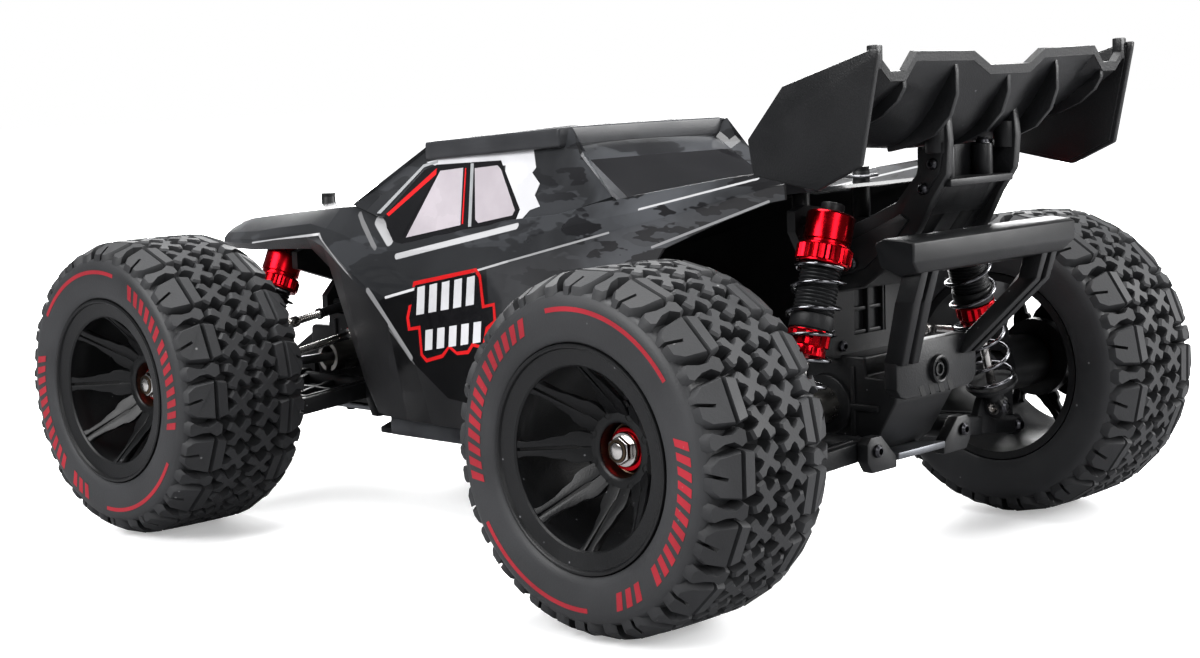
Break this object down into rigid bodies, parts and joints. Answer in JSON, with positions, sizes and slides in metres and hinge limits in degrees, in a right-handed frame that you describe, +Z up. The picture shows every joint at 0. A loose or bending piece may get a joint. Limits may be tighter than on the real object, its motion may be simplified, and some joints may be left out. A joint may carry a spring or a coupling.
{
  "type": "radio-controlled off-road truck",
  "caption": "Four wheel drive off-road model truck with sprung arms, steered front wheels, lexan body shell and rear wing",
  "frame": {"origin": "ground level under the centre of the overall box", "axes": "+X to the truck's left, -Y forwards, +Z up"},
  "size_m": [0.246, 0.35, 0.155],
  "materials": {
    "black_nylon": "textured glass-filled nylon, black",
    "grey_alloy": "grey anodised alloy",
    "steel": "bright steel",
    "red_alloy": "red anodised alloy",
    "spring_steel": "dark chromed spring wire",
    "tyre_rubber": "dark grey rubber",
    "rim_plastic": "matte black plastic",
    "shell_lexan": "printed lexan, dark grey, gloss",
    "battery_case": "hard blue case",
    "motor_can": "dark motor can",
    "case_plastic": "black case",
    "horn_plastic": "white nylon"
  },
  "bodies": {
    "chassis": {"chassis_plate": "grey_alloy", "body_shell": "shell_lexan", "rear_wing": "black_nylon", "wing_mount": "black_nylon", "rear_bumper": "black_nylon", "front_bumper": "black_nylon", "gearbox_cases": "black_nylon", "front_tower": "black_nylon", "rear_tower": "black_nylon", "motor": "motor_can", "battery": "battery_case", "esc_receiver": "case_plastic", "steering_servo": "case_plastic", "shock_springs": "spring_steel"},
    "arm_fl": {"lower_arm_fl": "black_nylon"},
    "c_hub_fl": {"c_hub_fl": "black_nylon"},
    "upper_link_fl": {"upper_link_fl": "steel"},
    "shock_body_fl": {"shock_body_fl": "red_alloy"},
    "shock_rod_fl": {"shock_rod_fl": "steel"},
    "drive_shaft_fl": {"drive_shaft_fl": "steel"},
    "knuckle_fl": {"knuckle_fl": "grey_alloy"},
    "wheel_fl": {"wheel_axle_fl": "steel", "rim_fl": "rim_plastic", "tyre_fl": "tyre_rubber"},
    "arm_fr": {"lower_arm_fr": "black_nylon"},
    "c_hub_fr": {"c_hub_fr": "black_nylon"},
    "upper_link_fr": {"upper_link_fr": "steel"},
    "shock_body_fr": {"shock_body_fr": "red_alloy"},
    "shock_rod_fr": {"shock_rod_fr": "steel"},
    "drive_shaft_fr": {"drive_shaft_fr": "steel"},
    "knuckle_fr": {"knuckle_fr": "grey_alloy"},
    "wheel_fr": {"wheel_axle_fr": "steel", "rim_fr": "rim_plastic", "tyre_fr": "tyre_rubber"},
    "arm_rl": {"lower_arm_rl": "black_nylon"},
    "rear_hub_rl": {"rear_hub_rl": "black_nylon"},
    "upper_link_rl": {"upper_link_rl": "steel"},
    "shock_body_rl": {"shock_body_rl": "red_alloy"},
    "shock_rod_rl": {"shock_rod_rl": "steel"},
    "drive_shaft_rl": {"drive_shaft_rl": "steel"},
    "wheel_rl": {"wheel_axle_rl": "steel", "rim_rl": "rim_plastic", "tyre_rl": "tyre_rubber"},
    "arm_rr": {"lower_arm_rr": "black_nylon"},
    "rear_hub_rr": {"rear_hub_rr": "black_nylon"},
    "upper_link_rr": {"upper_link_rr": "steel"},
    "shock_body_rr": {"shock_body_rr": "red_alloy"},
    "shock_rod_rr": {"shock_rod_rr": "steel"},
    "drive_shaft_rr": {"drive_shaft_rr": "steel"},
    "wheel_rr": {"wheel_axle_rr": "steel", "rim_rr": "rim_plastic", "tyre_rr": "tyre_rubber"},
    "diff_front": {"diff_front": "steel"},
    "diff_rear": {"diff_rear": "steel"},
    "center_shaft": {"center_shaft": "steel"},
    "motor_pinion": {"motor_pinion": "steel"},
    "steering_rack": {"steering_rack": "grey_alloy"},
    "servo_horn": {"servo_horn": "horn_plastic"},
    "tie_rod_l": {"tie_rod_l": "steel"},
    "tie_rod_r": {"tie_rod_r": "steel"}
  },
  "joints": [
    {"name": "arm_fl_swing", "type": "hinge", "parent": "chassis", "child": "arm_fl", "pos_m": [0.022, -0.101, 0.039], "axis": [0, -1, 0], "range_deg": [-6, 14], "stiffness_Nm_per_rad": 2.2, "springref_deg": -5.73, "deforming": ["shock_springs"]},
    {"name": "c_hub_fl_pivot", "type": "hinge", "parent": "arm_fl", "child": "c_hub_fl", "pos_m": [0.076, -0.101, 0.031], "axis": [0, -1, 0], "range_deg": [-15, 7]},
    {"name": "upper_link_fl_swing", "type": "hinge", "parent": "chassis", "child": "upper_link_fl", "pos_m": [0.02, -0.095, 0.069], "axis": [0, -1, 0], "range_deg": [-7, 15]},
    {"name": "shock_fl_swing", "type": "hinge", "parent": "chassis", "child": "shock_body_fl", "pos_m": [0.033, -0.116, 0.086], "axis": [0, -1, 0], "range_deg": [-1.72, 3.35]},
    {"name": "shock_rod_fl_slide", "type": "slide", "parent": "shock_body_fl", "child": "shock_rod_fl", "axis": [0.4146, 0, -0.91], "range_m": [-0.00766, 0.00346]},
    {"name": "drive_shaft_fl_spin", "type": "hinge", "parent": "arm_fl", "child": "drive_shaft_fl", "pos_m": [0.05, -0.101, 0.0498], "axis": [1, 0, 0], "continuous": true},
    {"name": "knuckle_fl_steer", "type": "hinge", "parent": "c_hub_fl", "child": "knuckle_fl", "pos_m": [0.084, -0.101, 0.0498], "axis": [0, 0, 1], "range_deg": [-22, 22]},
    {"name": "wheel_fl_spin", "type": "hinge", "parent": "knuckle_fl", "child": "wheel_fl", "pos_m": [0.098, -0.101, 0.0498], "axis": [1, 0, 0], "continuous": true},
    {"name": "arm_fr_swing", "type": "hinge", "parent": "chassis", "child": "arm_fr", "pos_m": [-0.022, -0.101, 0.039], "axis": [0, 1, 0], "range_deg": [-6, 14], "stiffness_Nm_per_rad": 2.2, "springref_deg": -5.73, "deforming": ["shock_springs"]},
    {"name": "c_hub_fr_pivot", "type": "hinge", "parent": "arm_fr", "child": "c_hub_fr", "pos_m": [-0.076, -0.101, 0.031], "axis": [0, 1, 0], "range_deg": [-15, 7]},
    {"name": "upper_link_fr_swing", "type": "hinge", "parent": "chassis", "child": "upper_link_fr", "pos_m": [-0.02, -0.095, 0.069], "axis": [0, 1, 0], "range_deg": [-7, 15]},
    {"name": "shock_fr_swing", "type": "hinge", "parent": "chassis", "child": "shock_body_fr", "pos_m": [-0.033, -0.116, 0.086], "axis": [0, 1, 0], "range_deg": [-1.72, 3.35]},
    {"name": "shock_rod_fr_slide", "type": "slide", "parent": "shock_body_fr", "child": "shock_rod_fr", "axis": [-0.4146, 0, -0.91], "range_m": [-0.00766, 0.00346]},
    {"name": "drive_shaft_fr_spin", "type": "hinge", "parent": "arm_fr", "child": "drive_shaft_fr", "pos_m": [-0.05, -0.101, 0.0498], "axis": [1, 0, 0], "continuous": true},
    {"name": "knuckle_fr_steer", "type": "hinge", "parent": "c_hub_fr", "child": "knuckle_fr", "pos_m": [-0.084, -0.101, 0.0498], "axis": [0, 0, 1], "range_deg": [-22, 22]},
    {"name": "wheel_fr_spin", "type": "hinge", "parent": "knuckle_fr", "child": "wheel_fr", "pos_m": [-0.098, -0.101, 0.0498], "axis": [1, 0, 0], "continuous": true},
    {"name": "arm_rl_swing", "type": "hinge", "parent": "chassis", "child": "arm_rl", "pos_m": [0.022, 0.119, 0.039], "axis": [0, -1, 0], "range_deg": [-6, 14], "stiffness_Nm_per_rad": 2.2, "springref_deg": -5.73, "deforming": ["shock_springs"]},
    {"name": "rear_hub_rl_pivot", "type": "hinge", "parent": "arm_rl", "child": "rear_hub_rl", "pos_m": [0.076, 0.119, 0.031], "axis": [0, -1, 0], "range_deg": [-15, 7]},
    {"name": "upper_link_rl_swing", "type": "hinge", "parent": "chassis", "child": "upper_link_rl", "pos_m": [0.02, 0.113, 0.069], "axis": [0, -1, 0], "range_deg": [-7, 15]},
    {"name": "shock_rl_swing", "type": "hinge", "parent": "chassis", "child": "shock_body_rl", "pos_m": [0.031, 0.134, 0.106], "axis": [0, -1, 0], "range_deg": [-1.08, 1.86]},
    {"name": "shock_rod_rl_slide", "type": "slide", "parent": "shock_body_rl", "child": "shock_rod_rl", "axis": [0.3271, 0, -0.945], "range_m": [-0.00785, 0.00354]},
    {"name": "drive_shaft_rl_spin", "type": "hinge", "parent": "arm_rl", "child": "drive_shaft_rl", "pos_m": [0.05, 0.119, 0.0498], "axis": [1, 0, 0], "continuous": true},
    {"name": "wheel_rl_spin", "type": "hinge", "parent": "rear_hub_rl", "child": "wheel_rl", "pos_m": [0.098, 0.119, 0.0498], "axis": [1, 0, 0], "continuous": true},
    {"name": "arm_rr_swing", "type": "hinge", "parent": "chassis", "child": "arm_rr", "pos_m": [-0.022, 0.119, 0.039], "axis": [0, 1, 0], "range_deg": [-6, 14], "stiffness_Nm_per_rad": 2.2, "springref_deg": -5.73, "deforming": ["shock_springs"]},
    {"name": "rear_hub_rr_pivot", "type": "hinge", "parent": "arm_rr", "child": "rear_hub_rr", "pos_m": [-0.076, 0.119, 0.031], "axis": [0, 1, 0], "range_deg": [-15, 7]},
    {"name": "upper_link_rr_swing", "type": "hinge", "parent": "chassis", "child": "upper_link_rr", "pos_m": [-0.02, 0.113, 0.069], "axis": [0, 1, 0], "range_deg": [-7, 15]},
    {"name": "shock_rr_swing", "type": "hinge", "parent": "chassis", "child": "shock_body_rr", "pos_m": [-0.031, 0.134, 0.106], "axis": [0, 1, 0], "range_deg": [-1.08, 1.86]},
    {"name": "shock_rod_rr_slide", "type": "slide", "parent": "shock_body_rr", "child": "shock_rod_rr", "axis": [-0.3271, 0, -0.945], "range_m": [-0.00785, 0.00354]},
    {"name": "drive_shaft_rr_spin", "type": "hinge", "parent": "arm_rr", "child": "drive_shaft_rr", "pos_m": [-0.05, 0.119, 0.0498], "axis": [1, 0, 0], "continuous": true},
    {"name": "wheel_rr_spin", "type": "hinge", "parent": "rear_hub_rr", "child": "wheel_rr", "pos_m": [-0.098, 0.119, 0.0498], "axis": [1, 0, 0], "continuous": true},
    {"name": "diff_front_spin", "type": "hinge", "parent": "chassis", "child": "diff_front", "pos_m": [0, -0.101, 0.0498], "axis": [1, 0, 0], "continuous": true},
    {"name": "diff_rear_spin", "type": "hinge", "parent": "chassis", "child": "diff_rear", "pos_m": [0, 0.119, 0.0498], "axis": [1, 0, 0], "continuous": true},
    {"name": "center_shaft_spin", "type": "hinge", "parent": "chassis", "child": "center_shaft", "pos_m": [0, 0.009, 0.0498], "axis": [0, 1, 0], "continuous": true},
    {"name": "motor_pinion_spin", "type": "hinge", "parent": "chassis", "child": "motor_pinion", "pos_m": [-0.02065, 0.009, 0.046], "axis": [0, 1, 0], "continuous": true},
    {"name": "steering_rack_slide", "type": "slide", "parent": "chassis", "child": "steering_rack", "axis": [1, 0, 0], "range_m": [-0.0075, 0.0075]},
    {"name": "servo_horn_turn", "type": "hinge", "parent": "chassis", "child": "servo_horn", "pos_m": [0.018, -0.065, 0.06], "axis": [0, 0, 1], "range_deg": [-31.5, 31.5]},
    {"name": "tie_rod_l_swing", "type": "hinge", "parent": "steering_rack", "child": "tie_rod_l", "pos_m": [0.03, -0.082, 0.06], "axis": [0, -1, 0], "range_deg": [-7, 15]},
    {"name": "tie_rod_r_swing", "type": "hinge", "parent": "steering_rack", "child": "tie_rod_r", "pos_m": [-0.03, -0.082, 0.06], "axis": [0, 1, 0], "range_deg": [-7, 15]}
  ],
  "couplings": [
    {"joint": "c_hub_fl_pivot", "follows": "arm_fl_swing", "ratio": -1},
    {"joint": "upper_link_fl_swing", "follows": "arm_fl_swing", "ratio": 1},
    {"joint": "shock_fl_swing", "follows": "arm_fl_swing", "ratio": 0.20326},
    {"joint": "shock_rod_fl_slide", "follows": "arm_fl_swing", "m_per_rad": -0.03013},
    {"joint": "c_hub_fr_pivot", "follows": "arm_fr_swing", "ratio": -1},
    {"joint": "upper_link_fr_swing", "follows": "arm_fr_swing", "ratio": 1},
    {"joint": "shock_fr_swing", "follows": "arm_fr_swing", "ratio": 0.20326},
    {"joint": "shock_rod_fr_slide", "follows": "arm_fr_swing", "m_per_rad": -0.03013},
    {"joint": "rear_hub_rl_pivot", "follows": "arm_rl_swing", "ratio": -1},
    {"joint": "upper_link_rl_swing", "follows": "arm_rl_swing", "ratio": 1},
    {"joint": "shock_rl_swing", "follows": "arm_rl_swing", "ratio": 0.09738},
    {"joint": "shock_rod_rl_slide", "follows": "arm_rl_swing", "m_per_rad": -0.030906},
    {"joint": "rear_hub_rr_pivot", "follows": "arm_rr_swing", "ratio": -1},
    {"joint": "upper_link_rr_swing", "follows": "arm_rr_swing", "ratio": 1},
    {"joint": "shock_rr_swing", "follows": "arm_rr_swing", "ratio": 0.09738},
    {"joint": "shock_rod_rr_slide", "follows": "arm_rr_swing", "m_per_rad": -0.030906},
    {"joint": "wheel_fl_spin", "follows": "wheel_rl_spin", "ratio": 1},
    {"joint": "wheel_fr_spin", "follows": "wheel_rl_spin", "ratio": 1},
    {"joint": "wheel_rr_spin", "follows": "wheel_rl_spin", "ratio": 1},
    {"joint": "drive_shaft_fl_spin", "follows": "wheel_rl_spin", "ratio": 1},
    {"joint": "drive_shaft_fr_spin", "follows": "wheel_rl_spin", "ratio": 1},
    {"joint": "drive_shaft_rl_spin", "follows": "wheel_rl_spin", "ratio": 1},
    {"joint": "drive_shaft_rr_spin", "follows": "wheel_rl_spin", "ratio": 1},
    {"joint": "diff_front_spin", "follows": "wheel_rl_spin", "ratio": 1},
    {"joint": "diff_rear_spin", "follows": "wheel_rl_spin", "ratio": 1},
    {"joint": "center_shaft_spin", "follows": "wheel_rl_spin", "ratio": -3.4375},
    {"joint": "motor_pinion_spin", "follows": "wheel_rl_spin", "ratio": 11.602},
    {"joint": "steering_rack_slide", "follows": "knuckle_fl_steer", "m_per_rad": -0.019},
    {"joint": "servo_horn_turn", "follows": "knuckle_fl_steer", "ratio": -1.4074},
    {"joint": "knuckle_fr_steer", "follows": "knuckle_fl_steer", "ratio": 1},
    {"joint": "tie_rod_l_swing", "follows": "arm_fl_swing", "ratio": 1},
    {"joint": "tie_rod_r_swing", "follows": "arm_fr_swing", "ratio": 1}
  ]
}
